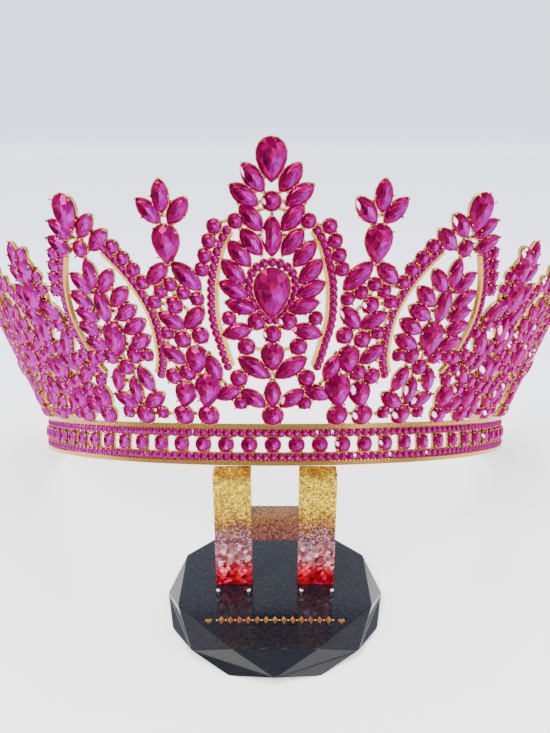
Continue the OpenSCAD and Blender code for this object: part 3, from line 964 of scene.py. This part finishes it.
draw_crest()
draw_band()
pieces = [
    stones.make("crest_gems", GEM, "fuchsia_glass"),
    seeds.make("small_gems", GEM, "fuchsia_glass"),
    band_gems.make("band_gems", GEM, "fuchsia_glass"),
    cups.make("crest_settings", GOLD, "gold_plate"),
    prongs.make("prongs", GOLD, "gold_plate", smooth=True),
    rows.make("small_settings", GOLD, "gold_plate"),
    band.make("band_metal", GOLD, "gold_plate"),
]

# Least angle of an edge that gets a rounding, in radians, and the roundings of the stand
SHARP = 0.2
BASE_BEVEL = 0.22
RISER_BEVEL = 0.3


def from_bmesh(name, shape, material, bevel):
    """Rounds the sharp edges of a closed shape and makes it a piece."""
    bmesh.ops.recalc_face_normals(shape, faces=shape.faces)
    sharp = [e for e in shape.edges if e.calc_face_angle(0) > SHARP]
    bmesh.ops.bevel(shape, geom=sharp, offset=bevel, segments=2, profile=0.6, affect="EDGES")
    bmesh.ops.scale(shape, vec=(MM, MM, MM), verts=shape.verts)
    mesh = bpy.data.meshes.new(name)
    shape.to_mesh(mesh)
    shape.free()
    return new_piece(name, mesh, material)


# Corners of the base from its top down: distance from the middle, turn in degrees, height
BASE_RINGS = ((30.1, 22.5, BASE_TOP), (32.6, 0, 2.25), (32.2, 22.5, 0))
ACRYLIC_GRAIN = 60
ACRYLIC_STOPS = [(0.3, (0.004, 0.004, 0.006)), (0.7, (0.012, 0.012, 0.018))]


def stand_base():
    """An eight-sided block of triangular facets."""
    shape = bmesh.new()
    rings = []
    for r, turn, z in BASE_RINGS:
        angles = [math.radians(turn + 45 * k) for k in range(8)]
        rings.append([shape.verts.new((r * math.cos(a), r * math.sin(a), z)) for a in angles])
    top, waist, foot = rings
    shape.faces.new(top)
    shape.faces.new(foot[::-1])
    for i in range(8):
        j = (i + 1) % 8
        for ring in (top, foot):
            shape.faces.new((ring[i], waist[i], waist[j]))
            shape.faces.new((ring[i], waist[j], ring[j]))
    material, tree, shader = node_material("black_acrylic")
    colour = ramp(tree, ACRYLIC_STOPS, noise(tree, ACRYLIC_GRAIN))
    tree.links.new(colour, shader.inputs["Base Color"])
    dress(shader, {"Roughness": 0.08, "Specular IOR Level": 0.22})
    return from_bmesh("stand_block", shape, material, BASE_BEVEL)


# Layers of the riser from its foot up: ground colour, and colour of the bright flakes
RISER_GROUND = [
    (0.0, (0.70, 0.001, 0.006)),
    (0.17, (0.72, 0.004, 0.015)),
    (0.22, (0.55, 0.13, 0.16)),
    (0.36, (0.40, 0.14, 0.15)),
    (0.42, (0.20, 0.06, 0.08)),
    (0.52, (0.16, 0.05, 0.045)),
    (0.56, (0.17, 0.055, 0.015)),
    (0.62, (0.34, 0.14, 0.01)),
    (0.75, (0.46, 0.28, 0.005)),
    (0.97, (0.48, 0.30, 0.005)),
    (0.985, (0.32, 0.135, 0.0)),
]
RISER_FLAKE = [
    (0.0, (0.90, 0.01, 0.07)),
    (0.17, (0.88, 0.03, 0.09)),
    (0.24, (0.80, 0.45, 0.50)),
    (0.42, (0.45, 0.25, 0.32)),
    (0.58, (0.42, 0.17, 0.03)),
    (0.68, (0.80, 0.58, 0.04)),
    (0.97, (0.82, 0.64, 0.05)),
    (0.985, (0.36, 0.155, 0.0)),
]
# Foot and top of the layers in metres, and how far the two sizes of flake shift them
LAYERS_LOW = 0.0108
LAYERS_TOP = 0.0484
CHIP_SWAY = 0.0045
GRAIN_SWAY = 0.002
# Scale of the coarse chips and of the fine grains, and the level where the chips end
CHIPS = 850
GRAINS = 2400
CHIPS_TOP = 0.4
# Darkest shade of the ground and its spread, and the channel value that bright flakes pass
SHADE_LOW = 0.4
SHADE_SPREAD = 0.95
BRIGHT = 0.66
# How far the flakes lean out of the surface
FLAKE_TILT = 0.9
# Cross bar: half its width in metres, its colour, and how much of that shows
BAR_HALF = 0.0068
BAR_COLOUR = (0.14, 0.04, 0.025, 1)
BAR_SHARE = 0.8


def flakes(tree, where, scale):
    """Random colour of each flake of glitter."""
    node = tree.nodes.new("ShaderNodeTexVoronoi")
    node.inputs["Scale"].default_value = scale
    tree.links.new(where, node.inputs["Vector"])
    return node.outputs["Color"]


def riser_material():
    """Clear resin with layers of glitter: coarse chips low down, fine grains above."""
    material, tree, shader = node_material("glitter_resin")
    where, axis = object_place(tree)
    chips, grains = flakes(tree, where, CHIPS), flakes(tree, where, GRAINS)
    sway = math_node(tree, "MULTIPLY_ADD", channels(tree, chips)["Blue"], CHIP_SWAY, axis["Z"])
    sway = math_node(tree, "MULTIPLY_ADD", channels(tree, grains)["Blue"], GRAIN_SWAY, sway)
    level = tree.nodes.new("ShaderNodeMapRange")
    level.inputs["From Min"].default_value = LAYERS_LOW
    level.inputs["From Max"].default_value = LAYERS_TOP
    tree.links.new(sway, level.inputs["Value"])
    height = level.outputs["Result"]

    flake = blend(tree, math_node(tree, "LESS_THAN", height, CHIPS_TOP), grains, chips)
    pick = channels(tree, flake)
    shade = math_node(tree, "MULTIPLY_ADD", pick["Red"], SHADE_SPREAD, SHADE_LOW)
    ground = scaled(tree, ramp(tree, RISER_GROUND, height), shade)
    bright = math_node(tree, "GREATER_THAN", pick["Green"], BRIGHT)
    colour = blend(tree, bright, ground, ramp(tree, RISER_FLAKE, height))
    on_bar = math_node(tree, "LESS_THAN", math_node(tree, "ABSOLUTE", axis["X"]), BAR_HALF)
    colour = blend(tree, math_node(tree, "MULTIPLY", on_bar, BAR_SHARE), colour, BAR_COLOUR)
    tree.links.new(colour, shader.inputs["Base Color"])

    tilt = (FLAKE_TILT,) * 3, (-FLAKE_TILT / 2,) * 3
    tilted = vector_node(tree, "MULTIPLY_ADD", flake, *tilt)
    facing = tree.nodes.new("ShaderNodeNewGeometry").outputs["Normal"]
    turned = vector_node(tree, "NORMALIZE", vector_node(tree, "ADD", facing, tilted))
    tree.links.new(turned, shader.inputs["Normal"])
    dress(
        shader,
        {
            "Metallic": 0.5,
            "Roughness": 0.35,
            "Specular IOR Level": 0.25,
            "Coat Weight": 0.08,
            "Coat Roughness": 0.05,
        },
    )
    return material


# Riser: half its width, width of a leg, and the heights of the cross bar
RISER_HALF = 17.5
RISER_LEG = 10.7
BAR_LOW = 23.55
BAR_HIGH = 31.65


def stand_riser():
    """Two legs and a cross bar, in the shape of an H."""
    shape = bmesh.new()
    half, inner, low = RISER_HALF, RISER_HALF - RISER_LEG, BASE_TOP + FOOT_GAP
    corners = [(-half, low), (-inner, low), (-inner, BAR_LOW)]
    corners += [(inner, BAR_LOW), (inner, low), (half, low)]
    corners += [(half, RISER_TOP), (inner, RISER_TOP), (inner, BAR_HIGH)]
    corners += [(-inner, BAR_HIGH), (-inner, RISER_TOP), (-half, RISER_TOP)]
    front = [shape.verts.new((x, RISER_FRONT, z)) for x, z in corners]
    back = [shape.verts.new((x, RISER_BACK, z)) for x, z in corners]
    shape.faces.new(front)
    shape.faces.new(back[::-1])
    for i in range(len(corners)):
        j = (i + 1) % len(corners)
        shape.faces.new((front[j], front[i], back[i], back[j]))
    return from_bmesh("riser_resin", shape, riser_material(), RISER_BEVEL)


# Studs at the riser's feet: their places, points round one, and its radii and heights
STUD_X = (-16.6, -7.7, 7.7, 16.6)
STUD_Y = -6.85
STUD_POINTS = 24
STUD_RINGS = ((0.65, 0), (0.65, 1.6), (0.58, 1.85), (0.35, 1.98), (0.02, 2.0))


def studs():
    bag = Bag()
    turns = [2 * math.pi * k / STUD_POINTS for k in range(STUD_POINTS)]
    ring = np.array([(math.cos(a), math.sin(a)) for a in turns])
    stud = stack([np.c_[ring * r, np.full(STUD_POINTS, z)] for r, z in STUD_RINGS])
    for x in STUD_X:
        bag.add(*stud, np.array([x, STUD_Y, BASE_TOP]), np.eye(3))
    return bag.make("riser_studs", SILVER, "stud_metal", smooth=True)


# Gold ornament on the base: its row, pitch, the hearts' place, the marks' rise and outlines
ORNAMENT_Y = -17.2
ORNAMENT_PITCH = 2.5
HEART_X = 18.6
HEART_Y = -17.6
MARK_RISE = 0.12
DOT_R = 0.34
LOZENGE = [(-0.85, 0), (0, -1.5), (0.85, 0), (0, 1.5)]
HEART_RIGHT = [(0, -1.1), (0.95, 0), (0.85, 0.6), (0.4, 0.8), (0, 0.45)]
HEART = HEART_RIGHT + [(-x, y) for x, y in HEART_RIGHT[3:0:-1]]


def ornament():
    """A plain row of gold lozenges and dots between two hearts, where the photo has lettering."""
    bag = Bag()
    dot = [(DOT_R * math.cos(a), DOT_R * math.sin(a)) for a in np.arange(6) * math.pi / 3]
    marks = [(HEART, -HEART_X, HEART_Y), (HEART, HEART_X, HEART_Y)]
    marks += [(LOZENGE, ORNAMENT_PITCH * k, ORNAMENT_Y) for k in range(-6, 7)]
    marks += [(dot, ORNAMENT_PITCH * (k + 0.5), ORNAMENT_Y) for k in range(-7, 7)]
    for shape, x, y in marks:
        n = len(shape)
        points = [(px, py, 0) for px, py in shape] + [(0, 0, MARK_RISE)]
        faces = [(i, (i + 1) % n, n) for i in range(n)]
        bag.add(points, faces, np.array([x, y, BASE_TOP + FOOT_GAP]), np.eye(3))
    bag.make("base_ornament", GOLD, "gold_plate")


base, riser, stud_piece = stand_base(), stand_riser(), studs()
ornament()
gems = [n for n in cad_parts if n.startswith(("front_", "bloom", "side", "crest_"))]
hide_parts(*gems)
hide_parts("band_stones")
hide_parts("frame")
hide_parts("stand_base")
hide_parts("stand_riser")
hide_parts(*[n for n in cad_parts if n.startswith("stud_")])


# Table and room: the flat's radius, the bend into the wall, the wall's top, sides and steps
TABLE_FLAT = 1.5
TABLE_BEND = 0.5
ROOM_TOP = 1.8
ROOM_SIDES = 64
BEND_STEPS = 12
# Their tint along Y: share of the ramp for each metre, share at the stand, and the stops,
# from the camera's side (0) to the far one (1)
TINT_STEP = 0.25
TINT_MIDDLE = 0.5
ROOM_TINTS = [
    (0.0, (0.42, 0.42, 0.44)),
    (0.35, (0.44, 0.44, 0.45)),
    (0.42, (1.0, 0.99, 0.975)),
    (0.50, (0.95, 0.93, 0.91)),
    (0.527, (0.9, 0.885, 0.87)),
    (0.55, (0.77, 0.83, 0.92)),
]


def sweep():
    """Glossy pale table top that curves up into a round backdrop, open above."""
    line = [(0.4, 0.0), (0.9, 0.0), (TABLE_FLAT, 0.0)]
    for k in range(1, BEND_STEPS + 1):
        a = math.pi / 2 * k / BEND_STEPS
        line.append((TABLE_FLAT + TABLE_BEND * math.sin(a), TABLE_BEND * (1 - math.cos(a))))
    line.append((TABLE_FLAT + TABLE_BEND, ROOM_TOP))
    n = ROOM_SIDES
    turns = [2 * math.pi * k / n for k in range(n)]
    points = [(0, 0, 0)]
    for r, z in line:
        points += [(r * math.cos(t), r * math.sin(t), z) for t in turns]
    faces = [(0, 1 + k, 1 + (k + 1) % n) for k in range(n)]
    for low in range(1, 1 + (len(line) - 1) * n, n):
        high = low + n
        faces += [(low + k, high + k, high + (k + 1) % n, low + (k + 1) % n) for k in range(n)]
    mesh = bpy.data.meshes.new("table_sweep")
    mesh.from_pydata(points, [], faces)
    for face in mesh.polygons:
        face.use_smooth = True
    material, tree, shader = node_material("pale_table")
    axis = object_place(tree)[1]
    along = math_node(tree, "MULTIPLY_ADD", axis["Y"], TINT_STEP, TINT_MIDDLE)
    tint = ramp(tree, ROOM_TINTS, along)
    tree.links.new(tint, shader.inputs["Base Color"])
    tree.links.new(tint, shader.inputs["Emission Color"])
    dress(shader, {"Emission Strength": 0.9, "Roughness": 0.12})
    mesh.materials.append(material)
    new_object("table_sweep", mesh)


# Lamps: place, aim, size, power, tint
LAMPS = {
    "key": ((-0.45, -0.45, 0.8), (0, 0.03, 0.06), 0.4, 12, (1.0, 0.98, 0.95)),
    "fill": ((0.6, -0.4, 0.5), (0, 0.03, 0.06), 0.5, 4, (0.95, 0.97, 1.0)),
    "top": ((0.05, 0.15, 0.9), (0, 0.05, 0.05), 0.6, 12, (1.0, 1.0, 1.0)),
}


def studio():
    """Soft area lamps and a pale sky."""
    for name, (at, aim, size, power, tint) in LAMPS.items():
        light = bpy.data.lights.new(name, "AREA")
        light.size = size
        light.energy = power
        light.color = tint
        holder = new_object(name, light)
        holder.location = at
        holder.rotation_euler = (Vector(aim) - Vector(at)).to_track_quat("-Z", "Y").to_euler()
    world = bpy.data.worlds.new("room")
    world.use_nodes = True
    sky = {"Color": (0.86, 0.9, 0.95, 1), "Strength": 0.6}
    dress(world.node_tree.nodes["Background"], sky)
    bpy.context.scene.world = world


# Camera, as fitted to the photo's base and band: place in metres, tilt, lens in millimetres
CAMERA_AT = (0, -0.168973, 0.147496)
CAMERA_TILT = math.radians(67.424)
CAMERA_LENS = 34.01


def camera():
    lens = bpy.data.cameras.new("camera")
    lens.sensor_width = 36
    lens.lens = CAMERA_LENS
    lens.clip_start = 0.01
    holder = new_object("camera", lens)
    holder.location = CAMERA_AT
    holder.rotation_euler = (CAMERA_TILT, 0, 0)
    bpy.context.scene.camera = holder


sweep()
studio()
camera()
